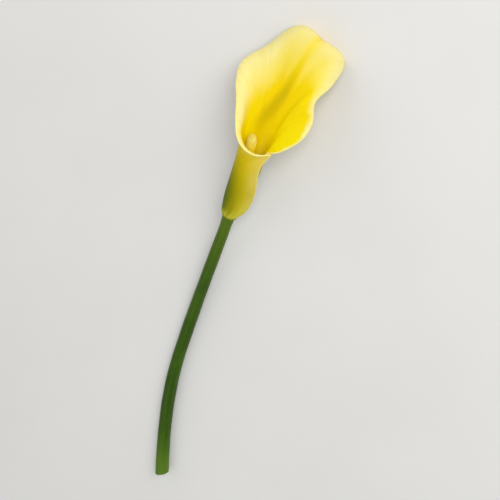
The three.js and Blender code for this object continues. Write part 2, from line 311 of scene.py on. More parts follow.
def select_edges(piece, wanted):
    """In edit mode, selects the edges for which wanted says yes."""
    bm = bmesh.from_edit_mesh(piece.data)
    bpy.ops.mesh.select_all(action="DESELECT")
    for edge in bm.edges:
        edge.select_set(wanted(edge))
    bm.select_flush(True)
    bmesh.update_edit_mesh(piece.data)


def is_open(edge):
    return edge.is_boundary


def close_end(piece, is_end, centre, outward, rings):
    """Closes an open end in rings, each a share of its size and some millimetres further out."""
    bpy.ops.mesh.select_mode(type="VERT")
    select_edges(piece, is_end)
    size, reached = 1.0, 0.0
    for share, out in rings:
        bpy.ops.mesh.extrude_region()
        here = Vector((centre + outward * reached) * MM)
        bpy.ops.transform.resize(value=(share / size,) * 3, center_override=here)
        bpy.ops.transform.translate(value=Vector(outward * (out - reached) * MM))
        size, reached = share, out
    bpy.ops.mesh.merge(type="CENTER")


# ---- Finishes ----
# Heights, widths and reliefs are in millimetres, and the scales of mottles on the object's own
# coordinates are per metre.
def colour(red, green, blue):
    """A colour, 0 to 255, as the light that it throws back."""
    def share(c):
        c /= 255
        return c / 12.92 if c <= 0.04045 else ((c + 0.055) / 1.055) ** 2.4
    return (share(red), share(green), share(blue), 1.0)


class Finish:
    """A finish made of nodes, with short names for the ones that this flower needs."""

    def __init__(self, name):
        self.material = bpy.data.materials.new(name)
        self.material.use_nodes = True
        self.tree = self.material.node_tree
        self.skin = self.tree.nodes["Principled BSDF"]
        self.object_place = self.tree.nodes.new("ShaderNodeTexCoord").outputs["Object"]

    def add(self, kind, inputs=(), **settings):
        node = self.tree.nodes.new(kind)
        for key, value in settings.items():
            setattr(node, key, value)
        for key, value in dict(inputs).items():
            if isinstance(value, bpy.types.NodeSocket):
                self.tree.links.new(value, node.inputs[key])
            else:
                node.inputs[key].default_value = value
        return node

    def read(self, name):
        """The number kept for each corner under that name."""
        return self.add("ShaderNodeAttribute", attribute_name=name).outputs["Fac"]

    def reckon(self, kind, a, b=0.0):
        """One step of arithmetic, such as ADD or MULTIPLY."""
        return self.add("ShaderNodeMath", {0: a, 1: b}, operation=kind).outputs[0]

    def fade(self, value, start, end, low=0.0, high=1.0):
        """From low at start to high at end, softly."""
        inputs = {
            "Value": value, "From Min": start, "From Max": end, "To Min": low, "To Max": high,
        }
        node = self.add("ShaderNodeMapRange", inputs, interpolation_type="SMOOTHSTEP")
        return node.outputs["Result"]

    def mix(self, share, a, b, kind="MIX"):
        node = self.add("ShaderNodeMix", data_type="RGBA", blend_type=kind)
        for key, value in {0: share, 6: a, 7: b}.items():
            if isinstance(value, bpy.types.NodeSocket):
                self.tree.links.new(value, node.inputs[key])
            else:
                node.inputs[key].default_value = value
        return node.outputs[2]

    def surface_place(self, across, up):
        """The piece's own ruled surface, stretched to that many units across and up."""
        uv = self.add("ShaderNodeUVMap", uv_map="surface").outputs["UV"]
        inputs = {"Vector": uv, "Scale": (across, up, 1.0)}
        return self.add("ShaderNodeMapping", inputs).outputs["Vector"]

    def mottle(self, place, scale, detail=2.0, roughness=0.5):
        inputs = {"Vector": place, "Scale": scale, "Detail": detail, "Roughness": roughness}
        return self.add("ShaderNodeTexNoise", inputs).outputs["Fac"]

    def relief(self, height, depth_mm, under=None):
        inputs = {"Height": height, "Distance": depth_mm * MM}
        if under is not None:
            inputs["Normal"] = under
        return self.add("ShaderNodeBump", inputs).outputs["Normal"]

    def set(self, **inputs):
        for key, value in inputs.items():
            socket = self.skin.inputs[key.replace("_", " ")]
            if isinstance(value, bpy.types.NodeSocket):
                self.tree.links.new(value, socket)
            else:
                socket.default_value = value


def spathe_finish():
    """Cream at the upper and left edge, partly painted light; gold in the throat; green at the foot
    and the point; partly painted shade on the tube's flank and in the olive streak, and a partly
    painted highlight along the rim.
    """
    f = Finish("spathe_petal")
    height, from_midrib, rim_at = f.read("height"), f.read("from_midrib"), f.read("rim_at")
    inside, to_edge = f.read("inside"), f.read("to_edge")
    off_midrib = f.reckon("ABSOLUTE", from_midrib)
    streaks = f.mottle(f.surface_place(150.0, 3.0), 1.0, 3.0, 0.6)
    blotches = f.mottle(f.object_place, 120.0, 3.0)

    # Inside: the cream reaches far in from the upper and the left edge, and is thin on the right. This
    # is partly the limb's own pale edge, partly painted light on the upper limb and the left wall, and
    # partly painted shade on the right lobe.
    in_from_lit_left = f.fade(rim_at, -150.0, -80.0, 0.2, 1.0)
    in_from_shaded_right = f.fade(rim_at, 5.0, 54.0, 1.0, 0.1)
    cream_reach_and_painted_light = f.reckon("MULTIPLY", in_from_lit_left, in_from_shaded_right)
    stray = f.reckon("MULTIPLY", f.reckon("SUBTRACT", blotches, 0.5), 5.0)
    soft_edge = f.reckon("ADD", to_edge, stray)
    depth = f.reckon("DIVIDE", soft_edge, cream_reach_and_painted_light)
    limb = f.mix(f.fade(depth, 4.0, 21.0), CREAM_AND_PAINTED_LIGHT, PALE_YELLOW)
    gold = f.mix(f.fade(height, 66.0, 44.0), GOLD, THROAT_LEMON)
    golden = f.reckon("ADD", depth, f.fade(height, 72.0, 54.0, 0.0, 12.0))
    limb = f.mix(f.fade(golden, 17.0, 36.0), limb, gold)

    # The olive streak follows the midrib and bends to the left low in the throat, where it widens. It
    # is partly the midrib's own colour and partly painted shade of the midrib's groove and of the low
    # throat.
    bent = f.reckon("ADD", from_midrib, f.fade(height, 70.0, 46.0, 0.0, 5.0))
    off_streak = f.reckon("ABSOLUTE", bent)
    streak_width = f.fade(height, 48.0, 84.0, 7.0, 2.2)
    streak_and_painted_shade = f.fade(f.reckon("DIVIDE", off_streak, streak_width), 1.0, 0.0)
    streak_and_painted_shade = f.reckon("MULTIPLY", streak_and_painted_shade, f.fade(height, 86.0, 66.0, 0.0, 0.66))
    streak_and_painted_shade = f.reckon("MULTIPLY", streak_and_painted_shade, f.fade(height, 38.0, 56.0, 0.3, 1.0))
    inner = f.mix(streak_and_painted_shade, limb, OLIVE_AND_PAINTED_SHADE)

    # Outside: green low on the tube, more so on its flank than towards its free edge, and up the
    # midrib. The deep green on the flank is partly the tube's own colour and partly painted shade. The
    # foot is pale, and most so in front.
    outer = f.mix(f.fade(soft_edge, 0.5, 9.0), PALE_YELLOW, TUBE_YELLOW)
    stray = f.reckon("MULTIPLY", f.reckon("SUBTRACT", streaks, 0.5), 16.0)
    low = f.reckon("ADD", height, stray)
    off_outer = f.fade(rim_at, -228.0, -122.0, 0.3, 1.0)
    off_inner = f.fade(rim_at, 100.0, 40.0, 0.4, 1.0)
    flank_green_and_painted_shade = f.reckon("MULTIPLY", off_outer, off_inner)
    outer = f.mix(f.reckon("MULTIPLY", f.fade(low, 50.0, 14.0), flank_green_and_painted_shade), outer, TUBE_GREEN_AND_PAINTED_SHADE)
    front = f.fade(rim_at, -170.0, -235.0)
    outer = f.mix(f.reckon("MULTIPLY", f.fade(low, 18.0, 3.0, 0.0, 0.7), front), outer, FOOT_PALE)
    outer = f.mix(f.fade(low, 6.0, 0.0, 0.0, 0.7), outer, FOOT_PALE)
    up_back = f.fade(height, 92.0, 20.0, 0.35, 0.8)
    back_line = f.reckon("MULTIPLY", f.fade(off_midrib, 2.6, 0.3), up_back)
    outer = f.mix(back_line, outer, MIDRIB_GREEN)

    petal = f.mix(inside, outer, inner)
    petal = f.mix(f.fade(height, 1.3, -0.2, 0.0, 0.7), petal, STEM_TOP_GREEN)
    # A thin pale line along the rim and the margins: partly the edge's paler colour and partly a
    # painted highlight.
    petal = f.mix(f.fade(to_edge, 1.1, 0.2, 0.0, 0.75), petal, EDGE_CREAM_AND_PAINTED_HIGHLIGHT)
    at_point = f.reckon("MULTIPLY", f.fade(off_midrib, 6.0, 1.0), f.fade(to_edge, 3.0, 0.3))
    at_point = f.reckon("MULTIPLY", at_point, f.fade(height, 70.0, 80.0))
    petal = f.mix(f.reckon("MULTIPLY", at_point, 0.8), petal, POINT_GREEN)
    veined = f.mix(f.fade(streaks, 0.35, 0.7, 0.0, 0.16), petal, VEIN_SHADE, "MULTIPLY")

    skin = f.relief(streaks, 0.045)
    skin = f.relief(f.mottle(f.object_place, 2600.0, 2.0), 0.02, skin)
    f.set(Base_Color=veined, Roughness=f.fade(blotches, 0.3, 0.7, 0.48, 0.6), Normal=skin)
    f.set(Subsurface_Weight=0.65, Subsurface_Radius=(1.0, 0.9, 0.1), Subsurface_Scale=3.5 * MM)
    f.set(Specular_IOR_Level=0.08)
    return f.material


def stem_finish():
    f = Finish("stem_skin")
    along = f.read("along")
    fibres = f.mottle(f.surface_place(46.0, 5.0), 1.0, 3.0, 0.6)
    flecks = f.mottle(f.surface_place(30.0, 40.0), 1.0, 3.0, 0.65)
    slow = f.mottle(f.object_place, 45.0, 2.0)
    green = f.mix(f.fade(slow, 0.3, 0.7), STEM_GREEN, STEM_DEEP_GREEN)
    green = f.mix(f.fade(along, 120.0, 164.0, 0.0, 0.75), green, STEM_TOP_GREEN)
    green = f.mix(f.fade(along, 26.0, 1.0, 0.0, 0.6), green, STEM_PALE_GREEN)
    green = f.mix(f.fade(fibres, 0.5, 0.72, 0.0, 0.4), green, STEM_LIGHT_LINE)
    green = f.mix(f.fade(flecks, 0.6, 0.75, 0.0, 0.3), green, STEM_PALE_GREEN)
    green = f.mix(f.fade(flecks, 0.42, 0.25, 0.0, 0.3), green, STEM_DEEP_GREEN)
    skin = f.relief(fibres, 0.09)
    skin = f.relief(f.mottle(f.object_place, 2200.0, 2.0), 0.012, skin)
    f.set(Base_Color=green, Roughness=f.fade(flecks, 0.3, 0.7, 0.3, 0.44), Normal=skin)
    f.set(Subsurface_Weight=0.12, Subsurface_Radius=(0.5, 1.0, 0.1), Subsurface_Scale=1.2 * MM)
    f.set(Specular_IOR_Level=0.17, Coat_Weight=0.03, Coat_Roughness=0.25)
    return f.material


def pith_finish():
    """The cut: pale and moist, with the green ends of the fibres in it."""
    f = Finish("stem_cut")
    inputs = {"Vector": f.object_place, "Scale": 1500.0, "Randomness": 0.8}
    cells = f.add("ShaderNodeTexVoronoi", inputs)
    ends = f.fade(cells.outputs["Distance"], 0.3, 0.14)
    grain = f.mottle(f.object_place, 5200.0, 3.0)
    flesh = f.mix(f.fade(grain, 0.3, 0.7), PITH, PITH_SHADE)
    f.set(Base_Color=f.mix(f.reckon("MULTIPLY", ends, 0.75), flesh, FIBRE_END))
    f.set(Roughness=f.fade(grain, 0.3, 0.7, 0.32, 0.5), Normal=f.relief(grain, 0.05))
    f.set(Subsurface_Weight=0.25, Subsurface_Radius=(0.8, 1.0, 0.4), Subsurface_Scale=1.0 * MM)
    return f.material


def spadix_finish():
    """Golden pollen over the stamens with a pale tip that is partly painted light, pale green pistils
    at the foot, and painted shade between the florets.
    """
    f = Finish("spadix_pollen")
    raised, up_finger = f.read("raised"), f.read("up_finger")
    dust = f.mottle(f.object_place, 2600.0, 3.0, 0.7)
    patches = f.mottle(f.object_place, 420.0, 2.0)
    top = f.mix(f.fade(patches, 0.35, 0.65), STAMEN_GOLD, POLLEN)
    # The pale tip is partly its own colour and partly painted light, brightened against the limb's
    # shade.
    top = f.mix(f.fade(up_finger, 36.0, 44.5, 0.0, 0.7), top, SPADIX_TIP_AND_PAINTED_LIGHT)
    foot = f.mix(f.fade(raised, 0.55, 1.0), PISTIL_GREEN, PISTIL_CREAM)
    edge = f.reckon("ADD", up_finger, f.reckon("MULTIPLY", patches, 2.0))
    head = f.mix(f.fade(edge, PISTIL_ZONE + 0.4, PISTIL_ZONE + 1.6), foot, top)
    # Painted shade: the low skin between the florets is darker.
    gap_painted_shade = f.mix(f.fade(edge, PISTIL_ZONE + 0.4, PISTIL_ZONE + 1.6), PISTIL_GAP_PAINTED_SHADE, STAMEN_GAP_PAINTED_SHADE)
    f.set(Base_Color=f.mix(f.fade(raised, 0.15, 0.8), gap_painted_shade, head))
    f.set(Roughness=f.fade(dust, 0.3, 0.7, 0.62, 0.85), Normal=f.relief(dust, 0.05))
    f.set(Subsurface_Weight=0.35, Subsurface_Radius=(1.0, 0.8, 0.1), Subsurface_Scale=1.4 * MM)
    f.set(Specular_IOR_Level=0.15)
    return f.material


def table_finish():
    f = Finish("pale_table")
    grain = f.mottle(f.object_place, 14.0, 4.0)
    f.set(Base_Color=f.mix(f.fade(grain, 0.3, 0.7), TABLE_PALE, TABLE_SHADE))
    f.set(Roughness=f.fade(grain, 0.3, 0.7, 0.6, 0.7))
    return f.material


CREAM_AND_PAINTED_LIGHT = colour(255, 229, 152)
EDGE_CREAM_AND_PAINTED_HIGHLIGHT = colour(255, 238, 150)
PALE_YELLOW = colour(252, 218, 96)
GOLD = colour(244, 206, 0)
THROAT_LEMON = colour(243, 216, 0)
OLIVE_AND_PAINTED_SHADE = colour(178, 160, 0)
TUBE_YELLOW = colour(222, 196, 0)
TUBE_GREEN_AND_PAINTED_SHADE = colour(88, 106, 0)
FOOT_PALE = colour(218, 212, 58)
MIDRIB_GREEN = colour(132, 142, 12)
POINT_GREEN = colour(140, 156, 46)
VEIN_SHADE = colour(222, 210, 120)
STEM_GREEN = colour(60, 94, 2)
STEM_DEEP_GREEN = colour(44, 74, 1)
STEM_TOP_GREEN = colour(88, 114, 10)
STEM_PALE_GREEN = colour(98, 132, 34)
STEM_LIGHT_LINE = colour(80, 118, 18)
PITH = colour(214, 224, 168)
PITH_SHADE = colour(190, 206, 132)
FIBRE_END = colour(112, 142, 52)
STAMEN_GOLD = colour(252, 218, 0)
POLLEN = colour(255, 232, 30)
SPADIX_TIP_AND_PAINTED_LIGHT = colour(255, 250, 160)
STAMEN_GAP_PAINTED_SHADE = colour(226, 176, 0)
PISTIL_GREEN = colour(158, 172, 66)
PISTIL_CREAM = colour(228, 222, 140)
PISTIL_GAP_PAINTED_SHADE = colour(110, 122, 30)
TABLE_PALE = colour(222, 221, 218)
TABLE_SHADE = colour(219, 218, 215)

stem_green = stem_finish()
cut_pith = pith_finish()


# ---- Spathe ----
def tube_radius(height):
    swell = TUBE_SWELL * (1 - np.exp(-height / TUBE_SWELL_HEIGHT))
    return TUBE_FOOT_RADIUS + swell + TUBE_TAPER * height


def tube_slope(height):
    """How much the tube widens for each millimetre of height, at that height."""
    return TUBE_SWELL / TUBE_SWELL_HEIGHT * np.exp(-height / TUBE_SWELL_HEIGHT) + TUBE_TAPER


def spathe_point(across, up):
    """The spathe's middle surface in the upright flower, with the angle and reach of each point."""
    share = np.abs(across)
    rim_at = np.where(across < 0, share * RIM[0, 0], share * RIM[-1, 0])
    rim_height = between(RIM, rim_at, 1)
    rim_reach = between(RIM, rim_at, 2)
    lean = np.radians(between(RIM, rim_at, 3))

    by_inner = np.clip((across - BY_INNER) / (1 - BY_INNER), 0, 1)
    by_outer = np.clip((-across - BY_OUTER) / (1 - BY_OUTER), 0, 1)
    tube_share = TUBE_SHARE + TUBE_SHARE_INNER * by_inner + TUBE_SHARE_OUTER * by_outer
    tube_top = rim_height * tube_share
    top_radius = tube_radius(tube_top)
    tube_height = tube_top * (np.clip(up, 0, TUBE_ROWS) / TUBE_ROWS) ** FOOT_CROWDING

    # The limb leaves the tube along its slope and reaches the rim along the lean.
    t = np.clip((up - TUBE_ROWS) / (LIMB_ROWS - TUBE_ROWS), 0, 1)
    span = np.hypot(rim_reach - top_radius, rim_height - tube_top)
    slope = tube_slope(tube_top)
    late = smoothstep(across, BY_INNER, 1)
    first = (LIMB_START_PULL + LIMB_START_PULL_INNER * late) * span / np.hypot(slope, 1)
    most = LIMB_END_PULL_MOST * (rim_reach - top_radius) / np.sin(lean)
    second = np.minimum((LIMB_END_PULL - LIMB_END_PULL_INNER * late) * span, most)
    reach_in = rim_reach - np.sin(lean) * second
    limb_reach = bezier(t, top_radius, top_radius + slope * first, reach_in, rim_reach)
    height_in = rim_height - np.cos(lean) * second
    limb_height = bezier(t, tube_top, tube_top + first, height_in, rim_height)

    in_tube = up < TUBE_ROWS
    height = np.where(in_tube, tube_height, limb_height)
    reach = np.where(in_tube, tube_radius(tube_height), limb_reach)

    # The edge rolls back in an arc, and at the midrib it runs on into the point.
    t = np.clip((up - LIMB_ROWS) / (1 - LIMB_ROWS), 0, 1)
    point = np.exp(-((rim_at / TIP_HALF_WIDTH) ** 2))
    from_inner, from_outer = RIM[-1, 0] - rim_at, rim_at - RIM[0, 0]
    edge = np.clip(np.minimum(from_inner / LIP_FADE_INNER, from_outer / LIP_FADE_OUTER), 0, 1)
    length = LIP * (LIP_LEAST + (1 - LIP_LEAST) * edge) + TIP_LENGTH * point
    turn = np.radians(LIP_TURN * edge + TIP_TURN * point) + 1e-6  # never quite straight
    reach = reach + length / turn * (np.cos(lean) - np.cos(lean + turn * t))
    height = height + length / turn * (np.sin(lean + turn * t) - np.sin(lean))

    # One margin wraps round outside the other, and its edge stands off a little in waves.
    angle = across * np.where(across < 0, between(MARGINS, height, 1), between(MARGINS, height, 2))
    step = WRAP_FOOT_STEP + (WRAP_STEP - WRAP_FOOT_STEP) * smoothstep(height, 0, WRAP_FULL_HEIGHT)
    wave = 0.5 + 0.5 * np.cos(2 * math.pi * (height - FLARE_CREST) / FLARE_WAVE_LENGTH)
    flare = FLARE * wave * smoothstep(-across, *FLARE_ACROSS) * (1 - smoothstep(up, *FLARE_UP))
    reach = reach + step * (-angle / 360 + WRAP_MEAN) + flare
    turned = np.radians(angle - LOWEST)
    return np.stack([reach * np.sin(turned), reach * np.cos(turned), height], -1), angle, reach


def lift_to(laid, lowest):
    """Raises what lies lower than that, so that the limb is pressed flat on the table."""
    laid = laid.copy()
    laid[..., 2] = np.maximum(laid[..., 2], lowest)
    return laid


def ruled_across(x):
    """Columns stand closer together near the point, and closest just before each margin."""
    last = 1 - MARGIN_COLUMNS * 2 / SPATHE_COLUMNS
    inner = np.clip(np.abs(x) / last, 0, 1)
    outer = np.clip((np.abs(x) - last) / (1 - last), 0, 1)
    turned = np.where(x < 0, OUTER_MARGIN_TURN, INNER_MARGIN_TURN)
    return np.sign(x) * ((1 - turned) * inner * (0.5 + 0.5 * inner) + turned * outer)


def ruled_up(y):
    """Rows stand closer together towards the rim."""
    lip = np.clip((y - LIMB_ROWS) / (1 - LIMB_ROWS), 0, 1)
    return np.where(y < LIMB_ROWS, y, LIMB_ROWS + (1 - LIMB_ROWS) * (1 - (1 - lip) ** RIM_CROWDING))


def length_to_edge(middle):
    """For a grid of points, how far each one is from the nearest of the rim and the two margins."""
    rows = np.linalg.norm(np.diff(middle, axis=0), axis=2)
    columns = np.linalg.norm(np.diff(middle, axis=1), axis=2)
    to_rim = np.zeros(middle.shape[:2])
    to_rim[:-1] = np.cumsum(rows[::-1], axis=0)[::-1]
    to_left = np.zeros(middle.shape[:2])
    to_left[:, 1:] = np.cumsum(columns, axis=1)
    to_right = np.zeros(middle.shape[:2])
    to_right[:, :-1] = np.cumsum(columns[:, ::-1], axis=1)[:, ::-1]
    return np.minimum(np.minimum(to_left, to_right), to_rim)


def make_spathe():
    sheet = ruled_sheet("waved_spathe", SPATHE_COLUMNS, SPATHE_ROWS)
    flat = corners(sheet)
    across, up = ruled_across(flat[:, 0]), ruled_up((flat[:, 1] + 1) / 2)
    upright, angle, reach = spathe_point(across, up)
    thickness = RIM_THICKNESS + (BASE_THICKNESS - RIM_THICKNESS) * (1 - up) * (1 - across * across)
    # The foot stands on the stem, which is a little off the tube's axis.
    upright[:, 0] += STEM_OFFSET * (1 - smoothstep(upright[:, 2], 0, FOOT_BEND))
    drop = GAP + FOOT_CLASP * smoothstep(-angle, 100, 260)
    upright[:, 2] -= drop * np.clip(1 - up / FOOT_TUCK, 0, 1)
    middle = lift_to(lay_down(upright), thickness / 2)

    def laid_point(a, u):
        return lay_down(spathe_point(a, u)[0])

    left, right = np.maximum(across - SLOPE_SPAN, -1), np.minimum(across + SLOPE_SPAN, 1)
    lower, upper = np.maximum(up - SLOPE_SPAN, 0), np.minimum(up + SLOPE_SPAN, 1)
    along_across = laid_point(right, up) - laid_point(left, up)
    along_up = laid_point(across, upper) - laid_point(across, lower)
    outward = np.cross(along_up, along_across)
    outward /= np.linalg.norm(outward, axis=1)[:, None]

    # The midrib is a low ridge outside and a groove inside, and finer veins run beside it. They are
    # uneven, and fade at the margins, at the foot, low in the tube and towards the rim.
    from_midrib = np.radians(angle) * reach
    ridge = MIDRIB_RELIEF * np.exp(-((from_midrib / MIDRIB_HALF_WIDTH) ** 2))
    ridge *= 1 - MIDRIB_FADE * smoothstep(up, 0.3, 0.75)
    uneven = 1 - VEIN_UNEVEN + VEIN_UNEVEN * np.sin(17 * across + 1.0)
    sway = VEIN_SWAY * np.sin(9 * across)
    veins = VEIN_RELIEF * uneven * np.cos(2 * math.pi * VEINS * across + sway)
    veins *= smoothstep(1 - np.abs(across), 0.0, 0.05) * smoothstep(up, 0.02, 0.15)
    veins *= 0.35 + 0.65 * smoothstep(up, 0.2, 0.42) - 0.75 * smoothstep(up, 0.45, 0.9)
    veins *= 1 - 0.6 * smoothstep(across, 0.55, 0.9)
    middle = lift_to(middle + outward * (ridge + veins)[:, None], thickness / 2)

    # The thickness runs out in a round edge at the rim and at both margins.
    by_row = middle.reshape(SPATHE_ROWS + 1, SPATHE_COLUMNS + 1, 3)
    to_edge = length_to_edge(by_row).ravel()
    edge_round = np.clip(to_edge / (thickness / 2), 0, 1)
    thickness = thickness * np.maximum(np.sqrt(1 - (1 - edge_round) ** 2), THINNEST_EDGE)

    place_corners(sheet, middle * MM)
    weights = sheet.vertex_groups.new(name="thickness")
    for i, share in enumerate(thickness / BASE_THICKNESS):
        weights.add([i], float(share), "REPLACE")
    shell = sheet.modifiers.new("thickness", "SOLIDIFY")
    shell.thickness = BASE_THICKNESS * MM
    shell.offset = 0
    shell.vertex_group = weights.name
    apply_modifiers(sheet)
    place_corners(sheet, lift_to(corners(sheet), 0))

    # What the finish follows: the inner and the outer face, height up the tube and distance from the
    # midrib and the edge in millimetres, and where round the rim each corner is, in degrees.
    one_face = len(flat)
    off_half = 0.5 * smoothstep(to_edge, 0.0, FACE_CHANGE)
    faces = corners(sheet) / MM
    first_is_inside = np.mean(np.linalg.norm(stand_up(faces[:one_face])[:, :2], axis=1) - reach) < 0
    sign = 1 if first_is_inside else -1
    note(sheet, "inside", np.concatenate([0.5 + sign * off_half, 0.5 - sign * off_half]))
    rim_at = np.where(across < 0, across * -RIM[0, 0], across * RIM[-1, 0])
    for name, values in {
        "height": upright[:, 2], "from_midrib": from_midrib, "to_edge": to_edge, "rim_at": rim_at,
    }.items():
        note(sheet, name, np.tile(values, 2))
    sheet.vertex_groups.clear()
    sheet.data.shade_smooth()
    return sheet


# ---- Stem ----
def stem_line():
    """Points, directions and lengths along the stem, from the cut end to the foot of the spathe."""
    top = FOOT - GAP * TUBE_AXIS
    top = top + [STEM_OFFSET, 0, -STEM_TOP_RADIUS * STEM_UNDERSIDE]
    touch = np.array([FOOT[0] + TOUCH_DOWN[0], FOOT[1] + TOUCH_DOWN[1], 0])
    cut = np.array([FOOT[0] + CUT_END[0], FOOT[1] + CUT_END[1], 0])
    lying = np.array([*LYING_DIRECTION, 0]) / math.hypot(*LYING_DIRECTION)
    leaving = np.array([*CUT_DIRECTION, 0]) / math.hypot(*CUT_DIRECTION)
    from_cut, to_touch, from_touch, to_foot = STEM_PULLS
    t = np.linspace(0, 1, STEM_LINE_POINTS)[:, None]
    first = bezier(t, cut, cut + leaving * from_cut, touch - lying * to_touch, touch)
    second = bezier(t, touch, touch + lying * from_touch, top - TUBE_AXIS * to_foot, top)
    line = np.vstack([first, second[1:]])
    length = np.concatenate([[0], np.cumsum(np.linalg.norm(np.diff(line, axis=0), axis=1))])
    return line, length


def stem_place(along):
    """Middle line, direction, side and upper direction of the stem at each share of its length."""
    line, length = stem_line()
    at = np.clip(along, 0, 1) * length[-1]
    point = np.stack([np.interp(at, length, line[:, k]) for k in range(3)], -1)
    direction = np.gradient(line, length, axis=0)
    tangent = np.stack([np.interp(at, length, direction[:, k]) for k in range(3)], -1)
    tangent /= np.linalg.norm(tangent, axis=-1)[..., None]
    side = np.cross(tangent, [0, 0, 1])
    side /= np.linalg.norm(side, axis=-1)[..., None]
    return point, tangent, side, np.cross(side, tangent)


def stem_radius(along):
    neck = STEM_CUT_RADIUS + (STEM_NECK_RADIUS - STEM_CUT_RADIUS) * along
    flare = smoothstep(along * STEM_LENGTH, STEM_LENGTH - STEM_TOP_FLARE, STEM_LENGTH)
    return neck + (STEM_TOP_RADIUS - neck) * flare


def make_stem():
    """A ruled sheet rolled round the stem's line, closed down its seam and at both ends."""
    stem = ruled_sheet("fleshy_stem", STEM_COLUMNS, STEM_ROWS)
    flat = corners(stem)
    turn = flat[:, 0] * math.pi
    along = (flat[:, 1] + 1) / 2
    point, tangent, side, upper = stem_place(along)
    radius = stem_radius(along)
    # Slow swells and low ridges, which die out towards the top.
    swell = STEM_SWELLS[0] * np.sin(along * 23 + 1.0) + STEM_SWELLS[1] * np.sin(along * 61 + turn)
    ridges = STEM_RIDGE_HEIGHT * np.cos(STEM_RIDGES * turn + STEM_RIDGE_SWAY * np.sin(along * 7))
    ridges *= smoothstep(1 - along, 0.0, 0.06)
    out = radius * (1 + swell * smoothstep(1 - along, 0.0, 0.05)) + ridges
    middle = point + np.stack([0 * radius, 0 * radius, radius * STEM_UNDERSIDE], -1)
    fade = np.clip(1 - along * STEM_LENGTH / CUT_SLANT_REACH, 0, 1)
    slant = out * np.sin(turn) * CUT_SLANT * fade
    rise = out * np.where(np.cos(turn) < 0, STEM_UNDERSIDE, 1.0) * np.cos(turn)
    laid = middle + side * (out * np.sin(turn))[:, None] + upper * rise[:, None]
    laid += tangent * slant[:, None]
    place_corners(stem, lift_to(laid, 0) * MM)

    stem.data.materials.clear()
    stem.data.materials.append(stem_green)
    stem.data.materials.append(cut_pith)
    only(stem)
    bpy.ops.object.mode_set(mode="EDIT")
    bpy.ops.mesh.select_all(action="SELECT")
    bpy.ops.mesh.remove_doubles(threshold=MERGE_DISTANCE)

    def end_middle(along):
        foot, direction = (row[0] for row in stem_place(np.array([along]))[:2])
        return foot + [0, 0, stem_radius(along) * STEM_UNDERSIDE], direction

    middle_y = np.mean(point[:, 1]) * MM

    def at_cut(edge):
        return edge.is_boundary and edge.verts[0].co.y < middle_y

    # The cut: pale inside its thin green rind, and a little dished.
    centre, direction = end_middle(0.0)
    close_end(stem, at_cut, centre, -direction, CUT_RINGS)
    for _ in range(len(CUT_RINGS) - RIND_RINGS):
        bpy.ops.mesh.select_more()
    stem.active_material_index = 1
    bpy.ops.object.material_slot_assign()

    # The top: a round shoulder, and the short core that goes on into the tube.
    centre, direction = end_middle(1.0)
    close_end(stem, is_open, centre, direction, TOP_RINGS)
    bpy.ops.mesh.select_all(action="SELECT")
    bpy.ops.mesh.normals_make_consistent(inside=False)
    bpy.ops.object.mode_set(mode="OBJECT")
    bpy.ops.object.shade_smooth_by_angle(angle=math.radians(STEM_SHARP))

    # How far up the stem each corner is, in millimetres, for the finish.
    line, length = stem_line()
    co = corners(stem) / MM
    nearest = np.array([np.argmin(np.abs(line[:, 1] - y)) for y in co[:, 1]])
    note(stem, "along", length[nearest])
    return stem


# ---- Spadix ----
def finger_radius(height):
    swell = smoothstep(height, 0, SPADIX_SWELL)
    dome = np.clip((height - SPADIX_LENGTH + SPADIX_DOME) / SPADIX_DOME, 0, 1)
    foot = SPADIX_FOOT_RADIUS - FINGER_INSET
    widening = SPADIX_RADIUS - SPADIX_FOOT_RADIUS + FINGER_INSET
    return (foot + widening * swell) * np.sqrt(1 - dome**2)


def finger_point(height, turn, radius):
    bend = ((height / SPADIX_LENGTH) ** 2)[..., None] * SPADIX_LEAN
    across = np.stack([radius * np.cos(turn), radius * np.sin(turn)], -1) + bend
    return np.concatenate([across, height[..., None] + CORE_HEIGHT + GAP], -1)


def on_finger(height, turn):
    """The one place on the finger at that height and turn."""
    return finger_point(height, turn, finger_radius(height))[0]


def make_floret(name, radius, height, crown, dimple):
    """A small bud, rounded over its top and dimpled in the middle."""
    bpy.ops.object.select_all(action="DESELECT")
    bpy.ops.mesh.primitive_cylinder_add(vertices=FLORET_SIDES, radius=radius, depth=height)
    floret = bpy.context.object
    floret.name = name
    bpy.ops.object.mode_set(mode="EDIT")
    bpy.ops.mesh.select_mode(type="FACE")
    bm = bmesh.from_edit_mesh(floret.data)
    bpy.ops.mesh.select_all(action="DESELECT")
    for face in bm.faces:
        face.select_set(face.normal.z > 0.9)
    bmesh.update_edit_mesh(floret.data)
    for inwards, outwards in ((0.2, crown * 0.6), (0.35, crown * 0.4), (0.2, -dimple)):
        bpy.ops.mesh.inset(thickness=radius * inwards, depth=outwards)
    bpy.ops.object.mode_set(mode="OBJECT")
    floret.data.shade_smooth()
    return floret


def spiral(first, last, spacing, proud):
    """Places up the finger on one spiral, each with about spacing squared of its skin to itself.

    The skin is measured that far proud of the finger, where the florets are widest.
    """
    fine = np.linspace(first, last, SPIRAL_STEPS)
    skin = 2 * math.pi * np.maximum(finger_radius(fine) + proud, LEAST_SKIN_RADIUS)
    slope = np.gradient(finger_radius(fine), fine)
    grown = np.concatenate([[0], np.cumsum(skin[:-1] * np.hypot(1, slope[:-1]) * np.diff(fine))])
    count = int(grown[-1] / (FLORET_PACKING * spacing**2))
    heights = np.interp((np.arange(count) + 0.5) / count * grown[-1], grown, fine)
    return heights, np.arange(count) * GOLDEN_ANGLE


